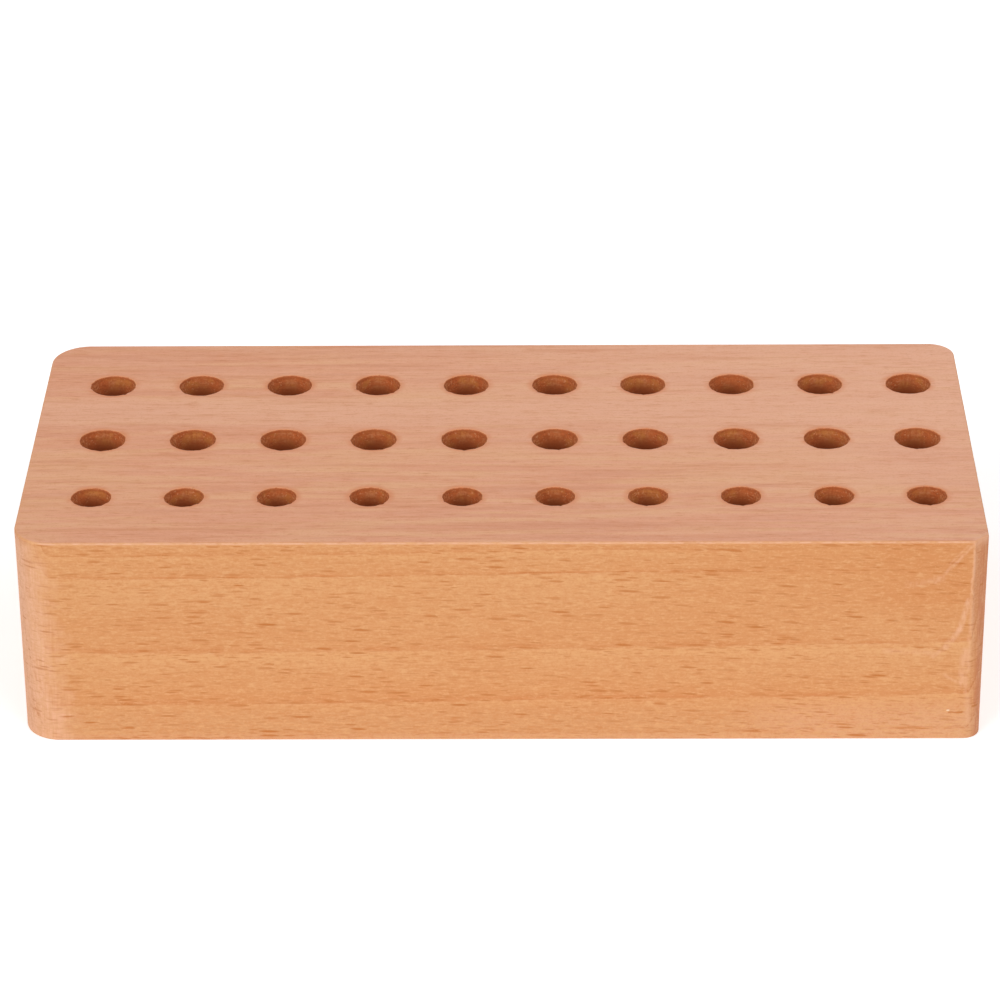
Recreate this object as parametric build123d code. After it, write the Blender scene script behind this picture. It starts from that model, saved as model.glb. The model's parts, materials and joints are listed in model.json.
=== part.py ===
from build123d import *
import os

# Screwdriver holder: one solid block of beech that stands on a bench. Three rows of
# blind round holes are drilled down from its top face, and a screwdriver's blade drops
# into each. The holes of the front row are smaller than those of the two rows behind.
# The upright corners are rounded by hand, each to its own radius, and the edges around
# the top and the underside are only just eased.
#
# Millimetres. The origin is the centre of the underside. +X runs to the right along
# the rows, +Y from the front face to the back and +Z up.

# Hole pattern
holes_per_row = 10
hole_pitch = 20.0
row_pitch = 26.9

# Wood from the outermost hole centres to each face
left_margin = 15.2
right_margin = 11.7
front_margin = 20.8
back_margin = 20.8

# Holes, drilled with a bit that leaves a flat floor and a dimple in its middle
small_hole_diameter = 8.5
large_hole_diameter = 10.0
hole_depth = 35.0
dimple_diameter = 2.4
dimple_depth = 1.2
wood_under_holes = 13.6

# Upright corner radii
front_left_radius = 8.0
front_right_radius = 3.8
back_right_radius = 5.6
back_left_radius = 8.4

# Easing of the edges around the top face and the underside
top_easing = 0.5
bottom_easing = 0.4

block_length = left_margin + (holes_per_row - 1) * hole_pitch + right_margin
block_depth = front_margin + 2 * row_pitch + back_margin
block_height = hole_depth + wood_under_holes

# From the front face to the back, with the drill that each row takes
row_diameters = [small_hole_diameter, large_hole_diameter, large_hole_diameter]


def plan():
    """The block's outline from above, with its own radius at each corner."""
    right = block_length / 2
    back = block_depth / 2
    radii = {
        (-right, -back): front_left_radius,
        (right, -back): front_right_radius,
        (right, back): back_right_radius,
        (-right, back): back_left_radius,
    }
    sketch = Rectangle(block_length, block_depth)
    for (x, y), radius in radii.items():
        corner = sketch.vertices().sort_by_distance((x, y, 0))[0]
        sketch = fillet(corner, radius)
    return sketch


def blank():
    """The block before drilling, with its edges eased."""
    body = extrude(plan(), block_height)
    body = fillet(body.faces().sort_by(Axis.Z)[-1].edges(), top_easing)
    return fillet(body.faces().sort_by(Axis.Z)[0].edges(), bottom_easing)


def drill(diameter):
    """What one drill removes below z = 0: the straight wall and the dimple in its floor."""
    wall = Cylinder(diameter / 2, hole_depth, align=(Align.CENTER, Align.CENTER, Align.MAX))
    dimple = Cone(0, dimple_diameter / 2, dimple_depth, align=(Align.CENTER, Align.CENTER, Align.MAX))
    return wall + Pos(0, 0, -hole_depth) * dimple


def drilled_block():
    """The blank with its three rows of blind holes."""
    first_x = -block_length / 2 + left_margin
    first_y = -block_depth / 2 + front_margin
    block = blank()
    for row, diameter in enumerate(row_diameters):
        cutter = drill(diameter)
        y = first_y + row * row_pitch
        places = [Pos(first_x + column * hole_pitch, y, block_height) for column in range(holes_per_row)]
        block -= [place * cutter for place in places]
    return block


os.makedirs("parts", exist_ok=True)
export_step(drilled_block(), "parts/drilled_block.step")
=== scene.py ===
"""Screwdriver holder: a beech block with three rows of blind holes, on a plain pale floor.

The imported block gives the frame, its size and where each hole is. One finer mesh stands for
it, with eased and hand-sanded edges, torn hole rims and drilled walls. The wood is worked out
through the whole volume, so its grain runs on from face to face and down into the holes.
"""
import json

import bpy
import numpy as np
from mathutils import Euler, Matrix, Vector


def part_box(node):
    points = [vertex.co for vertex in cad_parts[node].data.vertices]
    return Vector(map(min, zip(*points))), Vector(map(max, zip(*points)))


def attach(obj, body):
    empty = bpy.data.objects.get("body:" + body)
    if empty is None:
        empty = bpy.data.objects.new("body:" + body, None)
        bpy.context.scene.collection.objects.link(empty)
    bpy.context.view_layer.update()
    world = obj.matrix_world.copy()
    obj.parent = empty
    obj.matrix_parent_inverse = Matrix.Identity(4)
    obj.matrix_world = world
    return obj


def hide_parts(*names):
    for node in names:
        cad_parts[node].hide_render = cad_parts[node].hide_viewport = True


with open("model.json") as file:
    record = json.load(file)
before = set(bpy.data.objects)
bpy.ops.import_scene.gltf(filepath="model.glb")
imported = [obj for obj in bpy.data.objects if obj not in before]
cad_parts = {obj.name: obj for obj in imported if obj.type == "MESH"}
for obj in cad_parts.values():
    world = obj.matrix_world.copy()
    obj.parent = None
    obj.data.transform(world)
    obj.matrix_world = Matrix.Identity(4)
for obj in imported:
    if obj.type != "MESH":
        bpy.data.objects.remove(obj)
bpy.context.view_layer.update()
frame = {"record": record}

MM = 0.001

# The block, in millimetres, from its solid
block_low, block_high = (np.array(corner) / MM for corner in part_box("drilled_block"))
block_length, block_depth, block_height = block_high - block_low

# The holes, row by row from the front and from left to right in a row
bores = [mount for mount in frame["record"]["mounts"] if mount["kind"] == "bore"]
rows = 3
columns = len(bores) // rows
hole_centres = np.array([bore["pos_m"][:2] for bore in bores]) / MM
hole_radii = np.array([bore["dims"]["r_mm"] for bore in bores])
hole_depth = bores[0]["dims"]["length_mm"]
hole_pitch = hole_centres[1, 0] - hole_centres[0, 0]
row_pitch = hole_centres[columns, 1] - hole_centres[0, 1]

# Upright corners, from the front left one round by way of the front: side in x, side in y, radius
corners = (
    (-1, -1, 8.0),
    (1, -1, 3.8),
    (1, 1, 5.6),
    (-1, 1, 8.4),
)
top_easing = 0.5
bottom_easing = 0.4

# The flat that was sanded on the front right corner: what it cuts off each face, the heights
# where it starts and is full, and its share there against the round corner
flat_leg = 3.2
flat_from, flat_full = 6.0, 40.0
flat_share = 0.85

# Hand sanding takes this much off the sides, and this much more within a zone at both ends
sanded_off = 0.015
sanded_off_at_ends = 0.05
end_zone = 22.0

# The mouth of each hole is eased, and torn fibres reach this far out of it
mouth_easing = 0.22
torn_reach = 0.3

# Steps of the mesh: along and across a hole's cell, and round a corner
steps_along = 16
steps_across = 20
steps_corner = 24
ring_steps = 2 * (steps_along + steps_across)

# Drilled floor: a dimple from the bit's point
dimple_radius = 1.2
dimple_depth = 1.2

chance = np.random.default_rng(41)


def ease(value, low, high):
    """0 at low and past it, 1 at high and past it, and a smooth S between, as 3t^2 - 2t^3."""
    t = np.clip((value - low) / (high - low), 0, 1)
    return t * t * (3 - 2 * t)


def quads(across, along, closed):
    """The quads of a grid of points, row by row, whose rows are rings where closed."""
    row = np.arange(across - 1)[:, None] * along
    column = np.arange(along if closed else along - 1)[None, :]
    after = (column + 1) % along
    return np.stack([row + column, row + after, row + along + after, row + along + column], -1).reshape(-1, 4)


def weld(patches):
    """One mesh of several (points, faces) patches: points that agree to a tenth of a micrometre are one."""
    offsets = np.cumsum([0] + [len(points) for points, _ in patches])
    points = np.concatenate([points for points, _ in patches])
    _, first, index = np.unique(np.round(points, 4), axis=0, return_index=True, return_inverse=True)
    index = index.reshape(-1)
    faces = [index[each + offset] for (_, each), offset in zip(patches, offsets)]
    return points[first], [face for each in faces for face in each.tolist()]


def outline(z, inset):
    """The block's plan as rings of points, one ring for each height z, moved inward by inset.

    Each corner is an arc about (side * (half size - r)), of radius r - inset, and straight
    sides join the arcs. The ring starts in the middle of the front left arc and goes round
    by way of the front.
    """
    arcs = []
    for number, (side_x, side_y, radius) in enumerate(corners):
        angle = np.radians(180 + 90 * number + 90 * np.arange(steps_corner + 1) / steps_corner)[None, :]
        reach = radius - inset[:, None]
        x = side_x * (block_length / 2 - radius) + reach * np.cos(angle)
        y = side_y * (block_depth / 2 - radius) + reach * np.sin(angle)
        arcs.append(np.stack([x, y], -1))
    arcs[1] = sanded_flat(arcs[1], z, inset)
    side_steps = [columns * steps_along, rows * steps_across] * 2
    ring = [arcs[0][:, steps_corner // 2 :]]
    for number, steps in enumerate(side_steps):
        start, end = arcs[number][:, -1:], arcs[(number + 1) % 4][:, :1]
        t = (np.arange(1, steps - steps_corner) / (steps - steps_corner))[None, :, None]
        ring.append(start + (end - start) * t)
        ring.append(arcs[(number + 1) % 4])
    ring[-1] = ring[-1][:, : steps_corner // 2]
    return np.concatenate(ring, axis=1)


def sanded_flat(arc, z, inset):
    """The front right arc turned into two short straights and a flat between them, more so towards the top.

    The flat cuts flat_leg off each face. The arc and the flat are mixed by height.
    """
    right = block_length / 2 - inset
    front = -block_depth / 2 + inset
    # A leg gets shorter by about 2 - sqrt(2) of what the outline moves in
    leg = flat_leg - 0.6 * inset
    first = steps_corner // 5
    start, end = arc[:, 0], arc[:, -1]
    knee_a = np.stack([right - leg, front], -1)
    knee_b = np.stack([right, front + leg], -1)
    spans = ((start, knee_a, first), (knee_a, knee_b, steps_corner - 2 * first), (knee_b, end, first))
    pieces = [start[:, None]]
    for a, b, steps in spans:
        t = (np.arange(1, steps + 1) / steps)[None, :, None]
        pieces.append(a[:, None] + (b - a)[:, None] * t)
    flat = np.concatenate(pieces, axis=1)
    weight = flat_share * ease(z, flat_from, flat_full)[:, None, None]
    return arc + (flat - arc) * weight


def side_profile():
    """Heights and insets from the top face, over the eased edge, down the side and in under the block."""
    turn = np.radians(np.linspace(0, 90, 7))
    # Rings on the flat just inside the easing, and levels down the side
    flat_in = np.array([1.2, 0.85, 0.62])
    levels = 20
    side_levels = np.linspace(block_height - top_easing - 0.2, bottom_easing + 0.3, levels)
    z = np.concatenate([
        np.full(len(flat_in), block_height),
        block_height - top_easing * (1 - np.cos(turn)),
        side_levels,
        bottom_easing * (1 - np.sin(turn)),
        np.zeros(len(flat_in)),
    ])
    inset = np.concatenate([
        flat_in,
        top_easing * (1 - np.sin(turn)),
        np.zeros(levels),
        bottom_easing * (1 - np.cos(turn)),
        flat_in[::-1] + 0.3,
    ])
    return z, inset


def hand_sanding(ring, z):
    """Moves a side's points in by a few hundredths of a millimetre, mostly near the corners.

    The amount is a sum of sine waves along the ring and up the side, never outward.
    """
    along = np.linspace(0, 2 * np.pi, ring.shape[1], endpoint=False)[None, :]
    height = (z / block_height)[:, None]
    wave = np.zeros((len(z), ring.shape[1]))
    for lumps in (9, 23, 41, 67):
        start, climb = chance.uniform(0, 2 * np.pi), chance.uniform(-5, 5)
        wave += np.sin(lumps * along + climb * height + start) / 4
    near_end = ease(np.abs(ring[..., 0]), block_length / 2 - end_zone, block_length / 2 - 2)
    depth = (sanded_off + sanded_off_at_ends * near_end) * (1 + wave) * np.sin(np.pi * height) ** 0.5
    centre = np.array([block_length / 2 - 12, block_depth / 2 - 12])
    inward = np.clip(ring, -centre, centre) - ring
    length = np.maximum(np.linalg.norm(inward, axis=-1, keepdims=True), 1e-6)
    return ring + inward / length * depth[..., None]


def shell():
    """The block's outer skin: the outline carried down the side profile."""
    z, inset = side_profile()
    ring = hand_sanding(outline(z, inset), np.clip(z, 0, block_height))
    return np.concatenate([ring, np.broadcast_to(z[:, None, None], ring.shape[:2] + (1,))], -1)


def cell_lines(centres, before, after, steps):
    """Lines across a row of hole cells, which meet midway between centres and are cut into equal steps."""
    bounds = np.concatenate([[centres[0] - before], (centres[1:] + centres[:-1]) / 2, [centres[-1] + after]])
    parts = [np.linspace(low, high, steps + 1)[:-1] for low, high in zip(bounds[:-1], bounds[1:])]
    return np.concatenate(parts + [bounds[-1:]])


def rectangle_ring(x, y):
    """The edge points of a grid of x and y lines, from its front left corner round by way of the front."""
    front = np.stack([x[:-1], np.full(len(x) - 1, y[0])], -1)
    right = np.stack([np.full(len(y) - 1, x[-1]), y[:-1]], -1)
    back = np.stack([x[:0:-1], np.full(len(x) - 1, y[-1])], -1)
    left = np.stack([np.full(len(y) - 1, x[0]), y[:0:-1]], -1)
    return np.concatenate([front, right, back, left])


# The cells reach less far beyond the last column, where the end of the block is near
end_cell_cut = 1.8
lines_x = cell_lines(hole_centres[:columns, 0], hole_pitch / 2, hole_pitch / 2 - end_cell_cut, steps_along)
lines_y = cell_lines(hole_centres[::columns, 1], row_pitch / 2, row_pitch / 2, steps_across)


def raised(ring, z):
    """Plan points with their height z added."""
    return np.concatenate([ring, np.full(ring.shape[:-1] + (1,), float(z))], -1)


def bore_profile(radius):
    """Radii and drops below the top face of one bore, from the flat around it to the dimple's rim."""
    turn = np.radians(np.linspace(0, 90, 5))
    wall = np.array([0.4, 0.7, 1.2, 2.0, 3.0, 4.2, 5.8, 8.0, 12.0, 18.0, 26.0, hole_depth - 0.2])
    r = np.concatenate([
        radius + mouth_easing + np.array([1.3, 0.35, 0.12]),
        radius + mouth_easing * (1 - np.sin(turn)),
        np.full(len(wall), radius),
        [radius, radius - 0.3, dimple_radius + 0.2, dimple_radius],
    ])
    drop = np.concatenate([
        np.zeros(3),
        mouth_easing * (1 - np.cos(turn)),
        wall,
        np.full(4, hole_depth),
    ])
    return r, drop


def torn_rim(angle, drop):
    """How far a bore's wall stands off its true circle, in millimetres outward.

    A slow wave round the bore runs down the whole wall. At the mouth short waves are added, and
    where two of them meet a fibre has torn out: the product of two waves to a high power.
    """

    def wave(count):
        return np.sin(count * angle + chance.uniform(0, 6.3))

    slow = 0.03 * wave(2) + 0.02 * wave(3)
    short = sum(wave(count) for count in (7, 11, 16, 23)) / 4
    torn = np.clip(wave(5) * wave(8), 0, 1) ** 4
    at_mouth = np.exp(-drop / 0.45) * (drop < hole_depth)
    below = np.exp(-drop / 4)
    return slow * (drop > 0) + (0.07 * short + torn_reach * torn) * at_mouth + 0.02 * short * below


def hole_patches(number):
    """One hole with the rectangle of top face around it, as rings from the rectangle down to the dimple."""
    centre, radius = hole_centres[number], hole_radii[number]
    row, column = divmod(number, columns)
    x = lines_x[column * steps_along : (column + 1) * steps_along + 1]
    y = lines_y[row * steps_across : (row + 1) * steps_across + 1]
    edge = rectangle_ring(x, y)
    first = 270 - 180 * steps_along / ring_steps
    angle = np.radians(first + 360 * np.arange(ring_steps) / ring_steps)
    circle = np.stack([np.cos(angle), np.sin(angle)], -1)
    r, drop = bore_profile(radius)
    spread = torn_rim(angle[None, :], drop[:, None])
    # The outer rings of the top face and those of the floor stay true
    spread[:2] = 0
    spread[-3:] = 0
    rings = centre + (r[:, None] + spread)[..., None] * circle
    mixed = rings[0] + (edge - rings[0]) * np.array([1.0, 0.45])[:, None, None]
    plan = np.concatenate([mixed, rings])
    z = block_height - np.concatenate([[0, 0], drop])
    points = np.concatenate([plan, np.broadcast_to(z[:, None, None], plan.shape[:2] + (1,))], -1)
    walls = (points.reshape(-1, 3), quads(len(points), ring_steps, True))
    tip = np.append(centre, block_height - hole_depth - dimple_depth)
    base = np.arange(ring_steps)
    fan = np.stack([base, (base + 1) % ring_steps, np.full(ring_steps, ring_steps)], -1)
    return [walls, (np.vstack([points[-1], tip]), fan)]


def block_mesh():
    """The whole skin of the block: top cells with their holes, outer shell and underside, welded."""
    skin = shell()
    edge = raised(rectangle_ring(lines_x, lines_y), block_height)
    under = raised(rectangle_ring(lines_x, lines_y), 0)
    patches = [patch for number in range(len(bores)) for patch in hole_patches(number)]
    rings = np.concatenate([edge[None], skin, under[None]])
    patches.append((rings.reshape(-1, 3), quads(len(rings), rings.shape[1], True)[:, ::-1]))
    base_x, base_y = np.meshgrid(lines_x, lines_y)
    base = np.stack([base_x, base_y, np.zeros_like(base_x)], -1)
    patches.append((base.reshape(-1, 3), quads(len(lines_y), len(lines_x), False)[:, ::-1]))
    points, faces = weld(patches)
    mesh = bpy.data.meshes.new("Beech_block")
    mesh.from_pydata(points * MM, [], faces)
    mesh.shade_smooth()
    return mesh


def mark_surface(mesh):
    """Stores what the wood shows at each point: which way it faces, its depth in a bore, and eased edges.

    End grain and long face are the sizes of the normal's x and y, and front is how far it turns to
    the front. Depth counts from the top face, on points within a bore's reach. An edge is where a
    point of the skin lies on the easing, and the halo is a ring of darker wood close round a bore.
    """
    bore_reach, foot = 0.6, 5.0
    count = len(mesh.vertices)
    place = np.empty(count * 3)
    mesh.vertices.foreach_get("co", place)
    place = place.reshape(-1, 3) / MM
    normal = np.empty(count * 3)
    mesh.vertices.foreach_get("normal", normal)
    normal = normal.reshape(-1, 3)
    away = np.linalg.norm(place[:, None, :2] - hole_centres[None], axis=2)
    in_bore = (away < hole_radii[None] + bore_reach).any(1) & (place[:, 2] > foot)
    depth = np.where(in_bore, np.clip(block_height - place[:, 2], 0, None), 0)
    inset = np.min(block_high[:2] - np.abs(place[:, :2]), axis=1)
    rim = np.where(in_bore, ease(np.abs(normal[:, 2]), 0.98, 0.8) * ease(depth, 0.5, 0.1), 0)
    turned = ease(np.abs(normal[:, 2]), 0.97, 0.8) * ease(np.abs(normal[:, 2]), 0.1, 0.35)
    edge = np.where(in_bore, rim, turned)
    values = {
        "end_grain": np.abs(normal[:, 0]),
        "long_face": np.abs(normal[:, 1]),
        "front_face": np.clip(-normal[:, 1], 0, 1),
        "bore_depth": depth,
        "edge": edge,
        "halo": ease(away.min(axis=1) - hole_radii[away.argmin(axis=1)], 1.3, 0.2),
    }
    for name, value in values.items():
        mesh.attributes.new(name, "FLOAT", "POINT").data.foreach_set("value", value)
    centre = np.empty(len(mesh.polygons) * 3)
    mesh.polygons.foreach_get("center", centre)
    centre = centre.reshape(-1, 3) / MM
    away = np.linalg.norm(centre[:, None, :2] - hole_centres[None], axis=2)
    below_top = (centre[:, 2] > foot) & (centre[:, 2] < block_height - 0.1)
    drilled = (away < hole_radii[None] + 0.2).any(1) & below_top
    mesh.polygons.foreach_set("material_index", drilled.astype(np.int32))


class Graph:
    """A short way to write a node tree. Each call adds one node, wires it and gives its output."""

    def __init__(self, tree):
        self.tree = tree

    def wire(self, socket, value):
        if isinstance(value, bpy.types.NodeSocket):
            self.tree.links.new(value, socket)
        else:
            socket.default_value = value

    def add(self, kind, inputs=None, **settings):
        node = self.tree.nodes.new(kind)
        for name, value in settings.items():
            setattr(node, name, value)
        for name, value in (inputs or {}).items():
            self.wire(node.inputs[name], value)
        return node

    def math(self, operation, *values, clamp=False):
        node = self.add("ShaderNodeMath", operation=operation, use_clamp=clamp)
        for socket, value in zip(node.inputs, values):
            self.wire(socket, value)
        return node.outputs[0]

    def vector(self, operation, *values):
        node = self.add("ShaderNodeVectorMath", operation=operation)
        for socket, value in zip(node.inputs, values):
            self.wire(socket, value)
        return node.outputs[0]

    def stretch(self, place, sizes):
        """Coordinates in which a pattern's mark is as long as sizes say, in millimetres."""
        return self.vector("DIVIDE", place, sizes)

    def noise(self, place, sizes, detail=2.0, roughness=0.5):
        """A noise around 0.5 whose marks have the given sizes."""
        place = self.stretch(place, sizes)
        inputs = {"Vector": place, "Scale": 1.0, "Detail": detail, "Roughness": roughness}
        return self.add("ShaderNodeTexNoise", inputs).outputs[0]

    def waver(self, place, sizes, low, high):
        """A noise spread evenly from low to high."""
        return self.fit(self.noise(place, sizes), 0, 1, low, high, False)

    def times(self, *values):
        """The product of several values."""
        product = values[0]
        for value in values[1:]:
            product = self.math("MULTIPLY", product, value)
        return product

    def fit(self, value, low, high, out_low=0.0, out_high=1.0, smooth=True):
        """The value carried from low..high over to out_low..out_high, and held at both ends of it."""
        kind = "SMOOTHSTEP" if smooth else "LINEAR"
        inputs = {"Value": value, "From Min": low, "From Max": high, "To Min": out_low, "To Max": out_high}
        return self.add("ShaderNodeMapRange", inputs, interpolation_type=kind).outputs[0]

    def mix(self, share, first, second):
        """The first colour with a share of the second over it."""
        node = self.add("ShaderNodeMix", data_type="RGBA")
        self.wire(node.inputs["Factor"], share)
        self.wire(node.inputs[6], first)
        self.wire(node.inputs[7], second)
        return node.outputs[2]

    def seen(self):
        """1 on rays from the camera and on those that a reflection or glass sends on, and 0 on the rest."""
        path = self.add("ShaderNodeLightPath").outputs
        passed_on = self.math("MAXIMUM", path["Is Glossy Ray"], path["Is Transmission Ray"])
        return self.math("MAXIMUM", path["Is Camera Ray"], passed_on)

    def group(self, tree, **inputs):
        node = self.add("ShaderNodeGroup", node_tree=tree)
        for name, value in inputs.items():
            self.wire(node.inputs[name.replace("_", " ")], value)
        return node.outputs


def emptied(owner):
    """A graph to draw the nodes of a material or a world in, with nothing in it yet."""
    owner.use_nodes = True
    owner.node_tree.nodes.clear()
    return Graph(owner.node_tree)


def new_group(name, inputs, outputs):
    """An empty node group with named sockets, as (tree, graph, inputs, output node)."""
    tree = bpy.data.node_groups.new(name, "ShaderNodeTree")
    for label, kind in inputs.items():
        tree.interface.new_socket(label, in_out="INPUT", socket_type=kind)
    for label, kind in outputs.items():
        tree.interface.new_socket(label, in_out="OUTPUT", socket_type=kind)
    graph = Graph(tree)
    return tree, graph, graph.add("NodeGroupInput").outputs, graph.add("NodeGroupOutput").inputs


FLOAT, VECTOR = "NodeSocketFloat", "NodeSocketVector"

# Growth rings are arcs about a pith line along X, in front of the block and above it
pith_y, pith_z, pith_climb = -218.0, 58.0, 0.013
first_ring = 170.72
middle_radius = 190.0
ring_widths = (0.446, 2.815, 3.036, 2.505, 2.9, 2.2, 3.3, 2.6)


def growth_rings():
    """Distance from the pith, cut into rings: each darkens towards its outer edge and ends sharply there.

    Rays are thin lines straight out from the pith, worked out in distance from it and arc round it.
    """
    marks = {"Late wood": FLOAT, "Line": FLOAT, "Early band": FLOAT, "Ray": FLOAT}
    tree, g, given, out = new_group("Growth rings", {"Place": VECTOR}, marks)
    place = given["Place"]
    axes = g.add("ShaderNodeSeparateXYZ", {"Vector": place}).outputs
    # On the front the rings keep to their places, and behind it they wander more
    loose = g.fit(axes["Y"], -47, -30, 1, 8)
    wander = g.times(loose, g.waver(place, (70, 30, 30), -0.07, 0.07))
    ripple = g.times(loose, g.waver(place, (14, 2.6, 2.6), -0.03, 0.03))
    across = g.math("SUBTRACT", axes["Y"], pith_y)
    climb = g.times(axes["X"], pith_climb)
    up = g.math("SUBTRACT", g.math("SUBTRACT", axes["Z"], climb), pith_z)
    radius = g.math("SQRT", g.math("ADD", g.times(across, across), g.times(up, up)))
    radius = g.math("ADD", radius, g.math("ADD", wander, ripple))
    # A curve with a knee at each ring's edge counts the rings, so that each has its own width
    span = sum(ring_widths)
    t = g.math("DIVIDE", g.math("SUBTRACT", radius, first_ring), span)
    curve = g.add("ShaderNodeFloatCurve", {"Value": t})
    points = curve.mapping.curves[0].points
    edges = np.cumsum(ring_widths) / span
    for number, edge in enumerate(edges[:-1]):
        points.new(float(edge), (number + 1) / len(ring_widths))
    for point in points:
        point.handle_type = "VECTOR"
    curve.mapping.use_clip = False
    curve.mapping.extend = "EXTRAPOLATED"
    curve.mapping.update()
    phase = g.times(curve.outputs[0], float(len(ring_widths)))
    share = g.math("FRACT", phase)
    # A number drawn for each ring says how dark it is
    ring = g.math("FLOOR", phase)
    pick = g.add("ShaderNodeTexWhiteNoise", {"W": ring}, noise_dimensions="1D").outputs[0]
    depth = g.fit(pick, 0, 1, 0.45, 1.0, False)
    late = g.times(g.math("POWER", share, 3.0), g.fit(share, 1.0, 0.965))
    g.wire(out["Late wood"], g.times(late, depth))
    broken = g.fit(g.noise(place, (9, 1.5, 1.5), 1), 0.4, 0.6, 0.1, 1)
    line = g.times(g.fit(share, 0.88, 0.96), g.fit(share, 1.0, 0.975))
    g.wire(out["Line"], g.times(line, broken, depth))
    g.wire(out["Early band"], g.times(g.fit(share, 0.34, 0.04), depth))
    arc = g.times(g.math("ARCTAN2", up, across), middle_radius)
    polar = g.add("ShaderNodeCombineXYZ", {"X": axes["X"], "Y": radius, "Z": arc}).outputs[0]
    g.wire(out["Ray"], g.noise(polar, (0.6, 6.0, 0.4), 3, 0.6))
    return tree


def ray_flecks():
    """Dark spindles along the grain: points scattered in a stretched space, each with its own size."""
    given = {"Place": VECTOR, "Mark size": VECTOR, "Amount": FLOAT}
    tree, g, given, out = new_group("Ray flecks", given, {"Fleck": FLOAT})
    axes = g.add("ShaderNodeSeparateXYZ", {"Vector": given["Place"]}).outputs
    x, z = axes["X"], axes["Z"]
    droop = g.math("ADD", g.times(x, 0.035), g.times(x, x, 0.00018))
    wobble = g.waver(given["Place"], (9, 9, 3), -0.25, 0.25)
    z = g.math("ADD", z, g.math("ADD", droop, wobble))
    place = g.add("ShaderNodeCombineXYZ", {"X": x, "Y": axes["Y"], "Z": z}).outputs[0]
    cells = {"Vector": g.stretch(place, given["Mark size"]), "Scale": 1.0, "Randomness": 1.0}
    cells = g.add("ShaderNodeTexVoronoi", cells).outputs
    own = g.add("ShaderNodeSeparateColor", {"Color": cells["Color"]}).outputs
    reach = g.fit(own[0], 0, 1, 0.2, 0.46, False)
    inside = g.math("SUBTRACT", 1.0, g.math("DIVIDE", cells["Distance"], reach), clamp=True)
    there = g.math("GREATER_THAN", given["Amount"], own[1])
    strength = g.fit(g.math("POWER", own[2], 1.6), 0, 1, 0.25, 1, False)
    g.wire(out["Fleck"], g.times(g.fit(inside, 0, 0.55), there, strength))
    return tree


def wood_fibre():
    """Streaks along the grain, mottle between them, speckle of cut ends, scratches and slow clouds."""
    marks = {
        "Streak": ((4.5, 0.5, 0.45), 3, 0.6),
        "Long streak": ((26, 1.7, 1.3), 4, 0.7),
        "Mottle": ((2.2, 0.7, 0.5), 2, 0.6),
        "Speckle": ((0.5, 0.42, 0.42), 2, 0.6),
        "Upright": ((0.5, 0.5, 5.0), 3, 0.6),
        "Drift": ((4.5, 4.5, 3.5), 2, 0.6),
        "Cloud": ((55, 14, 9), 2, 0.5),
        "Patch": ((34, 2.8, 2.8), 3, 0.6),
    }
    outputs = {mark: FLOAT for mark in (*marks, "Wave")}
    tree, g, given, out = new_group("Wood fibre", {"Place": VECTOR}, outputs)
    place = given["Place"]
    for mark, noise in marks.items():
        g.wire(out[mark], g.noise(place, *noise))
    push = g.add("ShaderNodeTexNoise", {"Vector": g.stretch(place, (5, 5, 5)), "Scale": 1.0}).outputs[1]
    g.wire(out["Wave"], g.noise(g.vector("ADD", place, push), (0.6, 0.6, 1.5), 4, 0.65))
    return tree


groups = {"rings": growth_rings(), "rays": ray_flecks(), "fibre": wood_fibre()}

early_wood = (0.692, 0.320, 0.123, 1)
early_pale = (0.742, 0.372, 0.152, 1)
late_wood = (0.648, 0.258, 0.083, 1)
ring_red = (0.60, 0.180, 0.042, 1)
low_wood = (0.63, 0.350, 0.165, 1)
fleck_brown = (0.515, 0.156, 0.022, 1)
pale_fibre = (0.78, 0.420, 0.190, 1)
# The top's pink tone: partly the wood's own colour, partly a painted sheen
flat_pink_and_sheen = (0.77, 0.340, 0.191, 1)
flat_pale = (0.82, 0.418, 0.255, 1)
flat_yellow = (0.795, 0.412, 0.208, 1)
flat_dark = (0.69, 0.285, 0.155, 1)
streak_brown = (0.57, 0.178, 0.043, 1)
# Pale wood where it is rubbed, also used for the painted sheen on the left corners and painted highlights
# along edges
pale_wear_and_sheen = (0.81, 0.44, 0.265, 1)
dent_lip_highlight = (0.95, 0.8, 0.6, 1)
end_wood = (0.66, 0.285, 0.132, 1)
end_late = (0.55, 0.190, 0.070, 1)
end_red = (0.56, 0.18, 0.060, 1)
halo_red = (0.68, 0.215, 0.075, 1)
bore_mouth = (0.42, 0.092, 0.020, 1)
bore_wall = (0.56, 0.180, 0.058, 1)
# Pale bore wood: pale specks, and also the painted glint on the drill's turns
bore_pale_and_glint = (0.66, 0.280, 0.120, 1)
bore_speck = (0.82, 0.420, 0.210, 1)
bore_gold = (0.62, 0.240, 0.055, 1)
bore_red = (0.59, 0.150, 0.040, 1)
# Darkest bore wood: dark specks, and also the painted shade deep in a bore
bore_dark_and_shade = (0.34, 0.078, 0.020, 1)
bore_side = (0.58, 0.175, 0.055, 1)

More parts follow.
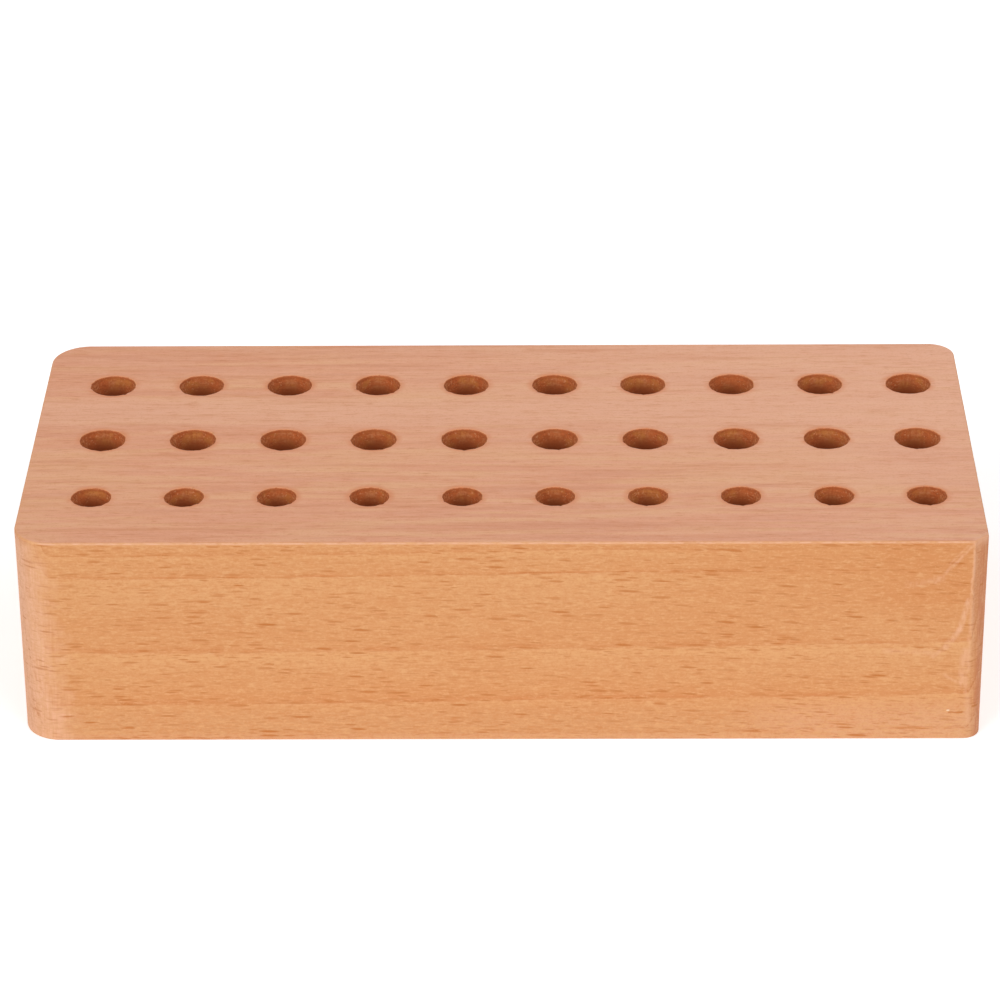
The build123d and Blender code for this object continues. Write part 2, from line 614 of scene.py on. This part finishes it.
# Pale strokes that sanding left by the front right corner: x and z of both ends, half width and strength.
# The upright ones follow the worn edge of the sanded flat and are partly a painted highlight along it.
sanding_and_highlight_strokes = (
    ((100.3, 48.2), (100.1, 34.0), 0.50, 0.75),
    ((100.1, 34.0), (100.2, 17.0), 0.80, 0.50),
    ((99.8, 15.0), (100.6, 4.0), 1.00, 0.40),
    ((100.2, 48.2), (96.6, 43.6), 0.55, 0.55),
    ((99.2, 48.0), (95.0, 43.0), 0.45, 0.30),
    ((96.6, 43.6), (92.2, 38.6), 0.70, 0.40),
    ((93.6, 39.6), (86.5, 38.2), 1.40, 0.25),
    ((99.5, 34.5), (97.8, 27.0), 0.90, 0.75),
    ((97.8, 27.0), (95.2, 23.0), 1.10, 0.65),
    ((95.2, 23.0), (92.6, 20.8), 0.80, 0.45),
    ((99.2, 22.0), (98.9, 13.5), 1.30, 0.60),
    ((95.0, 16.0), (98.6, 14.0), 0.60, 0.45),
    ((82.0, 21.8), (92.0, 21.6), 1.00, 0.35),
)
# A small dent low on the front, painted only: a painted highlight on its lip and painted shade in its bottom
dent_lip = ((96.1, 7.2), (96.3, 7.2), 0.36, 0.8)
dent_bottom = ((96.4, 6.6), (99.2, 6.7), 0.34, 0.9)
# Where the top is rubbed pale at the same corner: x and y of both ends, half width and strength
corner_rub = ((102.0, -47.0), (103.4, -45.2), 3.0, 0.7)


def stroke(g, across, up, start, end, half_width, strength):
    """How strongly a straight stroke shows, by the distance to the nearest point of its line."""
    run = (end[0] - start[0], end[1] - start[1])
    length_squared = run[0] ** 2 + run[1] ** 2
    off_x, off_z = g.math("SUBTRACT", across, start[0]), g.math("SUBTRACT", up, start[1])
    dot = g.math("ADD", g.times(off_x, run[0]), g.times(off_z, run[1]))
    t = g.math("DIVIDE", dot, length_squared, clamp=True)
    gap_x = g.math("SUBTRACT", off_x, g.times(t, run[0]))
    gap_z = g.math("SUBTRACT", off_z, g.times(t, run[1]))
    gap = g.math("SQRT", g.math("ADD", g.times(gap_x, gap_x), g.times(gap_z, gap_z)))
    return g.fit(gap, half_width, 0.0, 0.0, strength)


def sanding_and_highlight_marks(g, colour, axes, fibre, front):
    """Pale strokes, a dent and a rubbed corner on the front and the top, near the sanded flat. The strokes
    along the crease are partly a painted highlight, and the dent is painted: shade in its bottom and a
    highlight on its lip.
    """
    wobble = g.fit(fibre["Drift"], 0, 1, -0.8, 0.8, False)
    x = g.math("ADD", axes["X"], g.times(wobble, 0.6))
    z = g.math("ADD", axes["Z"], wobble)
    patchy = g.times(front, g.fit(fibre["Wave"], 0.62, 0.44, 0.3, 0.9))
    for mark in sanding_and_highlight_strokes:
        colour = g.mix(g.times(stroke(g, x, z, *mark), patchy), colour, pale_wear_and_sheen)
    # Painted shade in the dent's bottom, then a painted highlight on its lip
    colour = g.mix(g.times(stroke(g, x, z, *dent_bottom), front), colour, fleck_brown)
    colour = g.mix(g.times(stroke(g, x, z, *dent_lip), front), colour, dent_lip_highlight)
    from_corner = stroke(g, x, axes["Y"], *corner_rub)
    return g.mix(g.times(from_corner, g.fit(z, 46.5, 48.4)), colour, pale_wear_and_sheen)


def speckled(g, base, noise, darker, lighter):
    """A base colour with a darker one where the noise is high and a paler one where it is low.

    darker and lighter are each a colour, the noise at which it is full, and its share there.
    """
    colour, full, share = darker
    base = g.mix(g.fit(noise, 0.5, full, 0, share), base, colour)
    colour, full, share = lighter
    return g.mix(g.fit(noise, 0.5, full, 0, share), base, colour)


def long_faces(g, axes, rings, fibre):
    """The front and the back: ring tones and lines, redder to the upper right, pinker below, fine fibre."""
    x, z = axes["X"], axes["Z"]
    colour = g.mix(g.times(rings["Late wood"], 0.9), early_wood, late_wood)
    colour = g.mix(g.times(rings["Early band"], 0.7), colour, early_pale)
    colour = g.mix(g.times(rings["Line"], 0.8), colour, ring_red)
    colour = g.mix(g.fit(fibre["Cloud"], 0.4, 0.75, 0, 0.4), colour, late_wood)
    redder = g.times(g.fit(x, 10, 70, 0, 0.6), g.fit(z, 29, 36))
    clouds = g.fit(fibre["Patch"], 0.35, 0.6, 0.4, 1.0)
    at_right = g.times(g.fit(x, 76, 90), clouds, g.fit(z, 27, 34))
    redder = g.math("ADD", redder, at_right, clamp=True)
    redder = g.math("MAXIMUM", redder, g.times(g.fit(x, 40, -60, 0.35, 0.6), g.fit(z, 16, 5)))
    colour = g.mix(redder, colour, late_wood)
    at_foot = g.fit(z, 2.2, 0.5, 0, 0.6)
    pinker = g.math("MAXIMUM", at_foot, g.times(g.fit(x, 45, 65), g.fit(z, 12, 4, 0, 0.7)))
    colour = g.mix(g.times(pinker, g.fit(fibre["Mottle"], 0.3, 0.6)), colour, flat_pale)
    colour = g.mix(g.fit(z, 12, 3, 0, 0.4), colour, low_wood)
    colour = speckled(g, colour, fibre["Long streak"], (late_wood, 0.72, 0.5), (early_pale, 0.3, 0.35))
    colour = speckled(g, colour, fibre["Mottle"], (late_wood, 0.72, 0.6), (pale_fibre, 0.3, 0.45))
    dashes = g.times(rings["Line"], g.fit(fibre["Streak"], 0.5, 0.6, 0, 0.9))
    colour = g.mix(dashes, colour, fleck_brown)
    return speckled(g, colour, fibre["Speckle"], (late_wood, 0.75, 0.6), (pale_fibre, 0.25, 0.35))


def level_faces(g, axes, rings, fibre, halo):
    """The top and the underside: pink wood in bands and streaks, and redder wood close round each hole. The
    pink tone is partly the wood's own and partly a painted sheen, and the top grows paler towards the right
    and back as a painted sheen.
    """
    x, y = axes["X"], axes["Y"]
    flat = g.mix(g.times(rings["Late wood"], 0.5), flat_pink_and_sheen, late_wood)
    flat = speckled(g, flat, fibre["Cloud"], (flat_yellow, 0.66, 0.5), (flat_dark, 0.34, 0.5))
    flat = g.mix(g.fit(fibre["Patch"], 0.48, 0.66, 0, 0.75), flat, flat_yellow)
    flat = g.mix(g.fit(fibre["Patch"], 0.48, 0.32, 0, 0.7), flat, flat_dark)
    back_left = g.times(g.fit(x, -40, -90), g.fit(y, 25, 40, 0, 0.4))
    flat = g.mix(g.math("MAXIMUM", back_left, g.fit(y, 38, 45, 0, 0.4)), flat, flat_dark)
    from_middle = g.math("ABSOLUTE", g.math("ADD", y, 2.0))
    lighter = g.times(g.fit(x, 66, 76), g.fit(from_middle, 24, 17, 0, 0.4))
    from_back_gap = g.math("ABSOLUTE", g.math("SUBTRACT", y, row_pitch / 2))
    lighter = g.math("MAXIMUM", lighter, g.fit(from_back_gap, 9, 4, 0, 0.75))
    # Painted sheen: the top grows paler towards the right and the back
    sheen_to_right_back = g.times(g.fit(x, -70, 60, 0, 0.6), g.fit(y, -15, 10))
    flat = g.mix(g.math("MAXIMUM", lighter, sheen_to_right_back), flat, flat_pale)
    flat = speckled(g, flat, fibre["Long streak"], (streak_brown, 0.7, 0.35), (flat_pale, 0.3, 0.4))
    flat = g.mix(g.fit(fibre["Streak"], 0.54, 0.72, 0, 0.6), flat, streak_brown)
    flat = g.mix(g.fit(fibre["Streak"], 0.5, 0.3, 0, 0.4), flat, flat_pale)
    flat = g.mix(g.fit(fibre["Speckle"], 0.5, 0.75, 0, 0.3), flat, streak_brown)
    return g.mix(g.times(halo, g.fit(fibre["Patch"], 0.35, 0.6, 0.1, 0.8)), flat, halo_red)


def end_faces(g, rings, fibre):
    """Both ends: ring arcs crossed by rays, and the dots of cut fibres."""
    ends = g.mix(g.times(rings["Late wood"], 0.75), end_wood, end_late)
    ends = g.mix(g.times(rings["Line"], 0.4), ends, end_red)
    ends = g.mix(g.times(rings["Early band"], 0.4), ends, pale_wear_and_sheen)
    ends = g.mix(g.fit(rings["Ray"], 0.5, 0.68, 0, 0.55), ends, end_late)
    ends = g.mix(g.fit(rings["Ray"], 0.48, 0.32, 0, 0.45), ends, pale_wear_and_sheen)
    ends = speckled(g, ends, fibre["Speckle"], (end_late, 0.72, 0.5), (pale_wear_and_sheen, 0.3, 0.4))
    return g.mix(g.fit(fibre["Wave"], 0.54, 0.68, 0, 0.3), ends, end_red)


def corner_sheen_and_flat(g, colour, axes, fibre):
    """Paints a pale sheen on the two left corners, broken by fine scratches, and reddens the sanded flat."""
    x, y, z = axes["X"], axes["Y"], axes["Z"]
    facet = g.times(g.fit(x, 100.3, 102.6), g.fit(y, -41, -44))
    facet = g.times(facet, g.fit(fibre["Upright"], 0.38, 0.6, 0.1, 0.85))
    colour = g.mix(facet, colour, end_red)
    wavering = g.math("ADD", x, g.fit(fibre["Drift"], 0, 1, -5, 5, False))
    edge_line = g.math("ADD", wavering, g.fit(z, 45, 0, 0, -4, False))
    near_corner = g.fit(g.math("ABSOLUTE", y), 35, 43, 0, 0.95)
    # Painted sheen on the two left corners, broken by fine scratches
    left_corner_sheen = g.times(g.fit(edge_line, -93.5, -101.5), near_corner)
    for scratches in ("Upright", "Streak"):
        left_corner_sheen = g.times(left_corner_sheen, g.fit(fibre[scratches], 0.36, 0.6, 0.5, 1.0, False))
    return g.mix(g.times(left_corner_sheen, g.fit(z, 48.6, 46)), colour, pale_wear_and_sheen)


# Each size of ray fleck: its cell in millimetres, the share of cells that have one, and its strength
fleck_layers = (
    ((7.0, 10.0, 0.95), 0.20, 0.90),
    ((5.0, 8.0, 0.75), 0.36, 0.75),
    ((3.0, 5.0, 0.58), 0.60, 0.45),
)


def flecked(g, colour, place, rings, long_face):
    """Adds three sizes of ray fleck to the long faces, more of them in late wood."""
    for size, amount, strength in fleck_layers:
        amount = g.math("ADD", amount, g.times(rings["Late wood"], 0.5))
        fleck = g.group(groups["rays"], Place=place, Mark_size=size, Amount=amount)["Fleck"]
        colour = g.mix(g.times(fleck, strength, long_face), colour, fleck_brown)
    return colour


def sawn_wood(g, place, rings, fibre, faces):
    """The block's outer colour: a wood for each way a face turns, then painted sheen and highlights, sanding
    marks and flecks over them.
    """
    long_face, level_face, end, front, halo = faces
    axes = g.add("ShaderNodeSeparateXYZ", {"Vector": place}).outputs
    colour = long_faces(g, axes, rings, fibre)
    colour = g.mix(level_face, colour, level_faces(g, axes, rings, fibre, halo))
    colour = g.mix(end, colour, end_faces(g, rings, fibre))
    colour = corner_sheen_and_flat(g, colour, axes, fibre)
    colour = flecked(g, colour, place, rings, long_face)
    return sanding_and_highlight_marks(g, colour, axes, fibre, front)


# The drill's turns down a bore, in radians a millimetre: as bands of painted glint in the colour and as
# grooves
turn_glint_bands, turn_grooves = 4.4, 5.2


def drilled_wood(g, fibre, depth, across_grain):
    """The bore's colour: brown walls with the drill's turns as bands of painted glint, red flanks, rough end
    grain, and painted shade that darkens it with depth.
    """
    mottle, speckle = fibre["Mottle"], fibre["Speckle"]
    # Painted glint: paler bands along the drill's turns
    turns = g.math("SINE", g.math("ADD", g.times(depth, turn_glint_bands), g.times(fibre["Patch"], 14.0)))
    wall = g.mix(g.fit(turns, -0.8, 0.9, 0, 0.5), bore_wall, bore_pale_and_glint)
    wall = g.mix(g.fit(fibre["Drift"], 0.5, 0.62, 0, 0.75), wall, bore_red)
    wall = g.mix(g.fit(fibre["Drift"], 0.5, 0.36, 0, 0.75), wall, bore_gold)
    wall = g.mix(g.fit(fibre["Upright"], 0.5, 0.66, 0, 0.5), wall, bore_mouth)
    wall = g.mix(g.fit(mottle, 0.5, 0.68, 0, 0.6), wall, bore_mouth)
    wall = g.mix(g.fit(speckle, 0.5, 0.68, 0, 0.5), wall, bore_mouth)
    wall = g.mix(g.fit(speckle, 0.46, 0.32, 0, 0.5), wall, bore_pale_and_glint)
    flank = g.mix(g.fit(mottle, 0.45, 0.65, 0, 0.75), bore_red, bore_mouth)
    flank = g.mix(g.fit(fibre["Drift"], 0.52, 0.36, 0, 0.6), flank, bore_gold)
    flank = g.mix(g.fit(speckle, 0.44, 0.3, 0, 0.75), flank, bore_speck)
    side = g.mix(g.fit(speckle, 0.46, 0.32, 0, 0.7), bore_side, bore_speck)
    side = g.mix(g.fit(speckle, 0.5, 0.66, 0, 0.85), side, bore_dark_and_shade)
    colour = g.mix(g.fit(across_grain, 0.1, 0.5), wall, flank)
    colour = g.mix(g.fit(across_grain, 0.6, 0.95), colour, side)
    colour = g.mix(g.fit(depth, 1.2, 0.2, 0, 0.75), colour, bore_mouth)
    # Painted shade: darker with depth, full at 5.2 mm where the wall faces front or back and at 7.5 mm at the
    # sides
    return g.mix(g.fit(depth, 0.5, g.fit(across_grain, 0.2, 0.9, 5.2, 7.5)), colour, bore_dark_and_shade)


# How deep the grain and the drill's turns stand in the surface, in metres
grain_relief = 0.00006
# Roughness where the surface is smoothest and roughest, and what cut ends add to it
smoothest, roughest, rougher_ends = 0.44, 0.56, 0.12


def beech(label, drilled):
    """Beech, sanded outside or drilled inside, with a satin oiled surface."""
    material = bpy.data.materials.new(label)
    g = emptied(material)
    in_metres = g.add("ShaderNodeTexCoord").outputs["Object"]
    place = g.vector("MULTIPLY", in_metres, (1 / MM, 1 / MM, 1 / MM))
    names = ("end_grain", "long_face", "front_face", "bore_depth", "edge", "halo")
    stored = {name: g.add("ShaderNodeAttribute", attribute_name=name).outputs["Fac"] for name in names}
    rings = g.group(groups["rings"], Place=place)
    fibre = g.group(groups["fibre"], Place=place)
    end = g.fit(stored["end_grain"], 0.35, 1.0)
    if drilled:
        colour = drilled_wood(g, fibre, stored["bore_depth"], stored["end_grain"])
        edge_wear_and_highlight = g.times(stored["edge"], g.fit(fibre["Speckle"], 0.45, 0.6, 0.1, 0.9))
        colour = g.mix(edge_wear_and_highlight, colour, halo_red)
    else:
        long_face = g.fit(stored["long_face"], 0.1, 0.6)
        upright_face = g.math("ADD", long_face, g.fit(stored["end_grain"], 0.1, 0.6))
        level_face = g.math("SUBTRACT", 1.0, upright_face, clamp=True)
        front = g.fit(stored["front_face"], 0.4, 0.8)
        colour = sawn_wood(g, place, rings, fibre, (long_face, level_face, end, front, stored["halo"]))
        # Pale eased edges: partly worn wood, partly a painted highlight along the edge
        edge_wear_and_highlight = g.times(stored["edge"], g.fit(stored["end_grain"], 0.4, 0.1, 0.1, 1.0))
        edge_wear_and_highlight = g.times(edge_wear_and_highlight, g.fit(fibre["Mottle"], 0.35, 0.6, 0.2, 0.9))
        colour = g.mix(edge_wear_and_highlight, colour, pale_wear_and_sheen)
    rough = g.fit(fibre["Mottle"], 0.3, 0.7, smoothest, roughest, False)
    rough = g.math("ADD", rough, g.times(end, rougher_ends))
    height = g.math("ADD", g.times(fibre["Mottle"], 0.5), g.times(fibre["Streak"], 0.5))
    height = g.math("ADD", height, g.times(end, fibre["Speckle"], 3.0 if drilled else 0.6))
    if drilled:
        turns = g.times(g.math("ADD", stored["bore_depth"], g.times(fibre["Patch"], 2.5)), turn_grooves)
        height = g.math("ADD", height, g.times(g.math("SINE", turns), 0.16))
    relief = {"Strength": 0.25, "Distance": grain_relief, "Height": height}
    bump = g.add("ShaderNodeBump", relief).outputs[0]
    shader = g.add("ShaderNodeBsdfPrincipled", {"Base Color": colour, "Roughness": rough, "Normal": bump})
    shader.inputs["IOR"].default_value = 1.5
    shader.inputs["Specular IOR Level"].default_value = 0.5
    g.wire(g.add("ShaderNodeOutputMaterial").inputs["Surface"], shader.outputs[0])
    return material


# The floor is pale grey, and lifted to white where the camera or a reflection sees it
floor_grey = (0.86, 0.86, 0.86, 1)
floor_lift = 0.47


def floor_paint():
    """Matt pale floor that keeps the block's shadow, and shows nearly white where it is fully lit."""
    material = bpy.data.materials.new("Pale floor")
    g = emptied(material)
    matt = g.add("ShaderNodeBsdfDiffuse", {"Color": floor_grey}).outputs[0]
    strength = g.times(g.seen(), floor_lift)
    lift = g.add("ShaderNodeEmission", {"Color": (1, 1, 1, 1), "Strength": strength}).outputs[0]
    both = g.add("ShaderNodeAddShader")
    g.wire(both.inputs[0], matt)
    g.wire(both.inputs[1], lift)
    g.wire(g.add("ShaderNodeOutputMaterial").inputs["Surface"], both.outputs[0])
    return material


def lay_floor():
    """A square floor under the block, far wider than the view."""
    mesh = bpy.data.meshes.new("Floor")
    half = 3.0
    corner_points = [(-half, -half, 0), (half, -half, 0), (half, half, 0), (-half, half, 0)]
    mesh.from_pydata(corner_points, [], [(0, 1, 2, 3)])
    floor = bpy.data.objects.new("Floor", mesh)
    bpy.context.collection.objects.link(floor)
    mesh.materials.append(floor_paint())


def hang_sun(name, across, up, strength, width):
    """Even light from far off: across and up are its angles from the front, and width its spread."""
    light = bpy.data.lights.new(name, "SUN")
    light.energy = strength
    light.angle = np.radians(width)
    lamp = bpy.data.objects.new(name, light)
    turn, rise = np.radians(across), np.radians(up)
    towards = Vector((np.sin(turn) * np.cos(rise), -np.cos(turn) * np.cos(rise), np.sin(rise)))
    lamp.rotation_euler = (-towards).to_track_quat("-Z", "Y").to_euler()
    bpy.context.collection.objects.link(lamp)


# The middle of the block, in metres
block_middle = (0, 0, 0.02)


def hang_softbox(name, place, size, watts):
    """A rectangular area light at place, turned towards the middle of the block."""
    light = bpy.data.lights.new(name, "AREA")
    light.shape = "RECTANGLE"
    light.size, light.size_y = size
    light.energy = watts
    lamp = bpy.data.objects.new(name, light)
    lamp.location = place
    lamp.rotation_euler = (Vector(block_middle) - Vector(place)).to_track_quat("-Z", "Y").to_euler()
    bpy.context.collection.objects.link(lamp)


# The room's light as it falls on the block, and as the camera or a reflection sees it
room_light, seen_light = 0.45, 1.0


def light_room():
    """Soft room light, white where the camera or a reflection sees it and dimmer on the block."""
    world = bpy.data.worlds.new("Studio")
    bpy.context.scene.world = world
    g = emptied(world)
    strength = g.fit(g.seen(), 0, 1, room_light, seen_light, False)
    sky = g.add("ShaderNodeBackground", {"Color": (1, 1, 1, 1), "Strength": strength}).outputs[0]
    g.wire(g.add("ShaderNodeOutputWorld").inputs["Surface"], sky)
    hang_sun("Left front", -42, 30, 1.32, 36)
    hang_sun("Right front", 40, 30, 0.92, 36)
    hang_softbox("Back right", (0.55, 1.2, 0.62), (0.8, 0.6), 1.6)


def place_camera():
    """The photograph's view: 28 degrees down on the front, from just under a metre away."""
    data = bpy.data.cameras.new("View")
    data.sensor_width = 36.0
    data.lens = 151.9
    camera = bpy.data.objects.new("View", data)
    camera.location = Vector((10.245, -828.73, 475.607)) * MM
    camera.rotation_euler = Euler(np.radians([61.9137, 0.4368, 0.5082]))
    bpy.context.collection.objects.link(camera)
    bpy.context.scene.camera = camera


block_data = block_mesh()
mark_surface(block_data)
block_data.materials.append(beech("Beech sanded", drilled=False))
block_data.materials.append(beech("Beech drilled", drilled=True))
block = bpy.data.objects.new("Beech_block", block_data)
bpy.context.collection.objects.link(block)
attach(block, "root")
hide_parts("drilled_block")

lay_floor()
light_room()
place_camera()
bpy.context.scene.view_settings.view_transform = "Standard"
